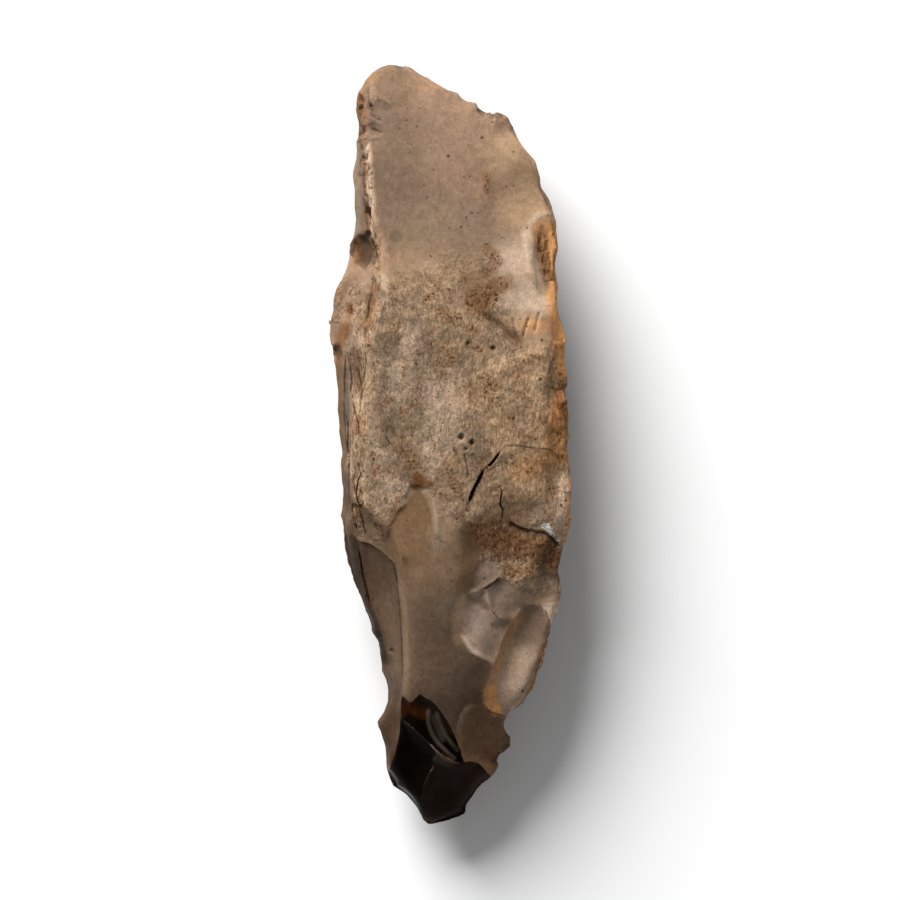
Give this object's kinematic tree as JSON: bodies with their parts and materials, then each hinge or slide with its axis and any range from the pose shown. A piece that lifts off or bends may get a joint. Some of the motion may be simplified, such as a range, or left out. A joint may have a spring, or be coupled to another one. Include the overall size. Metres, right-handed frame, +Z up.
{
  "type": "flint pick",
  "caption": "Long knapped flint pick: a thick tapering stone with a flaked point, steep flaked sides, a broad rough upper face and a blunt slanted butt.",
  "frame": {"origin": "bottom centre of the bounding box, on the flat underside, with the pick lying on its side as in the picture", "axes": "+Y from the flaked point towards the blunt butt, +X to the right seen from above with the butt away from the viewer, +Z up out of the flat underside"},
  "size_m": [0.0548, 0.172, 0.0374],
  "materials": {
    "flint": "grey-tan patinated flint with a rough yellowish-tan natural skin, orange-brown iron stain along the edges and fresh near-black glossy flint at the point"
  },
  "bodies": {
    "root": {"flint_pick": "flint"}
  },
  "joints": []
}
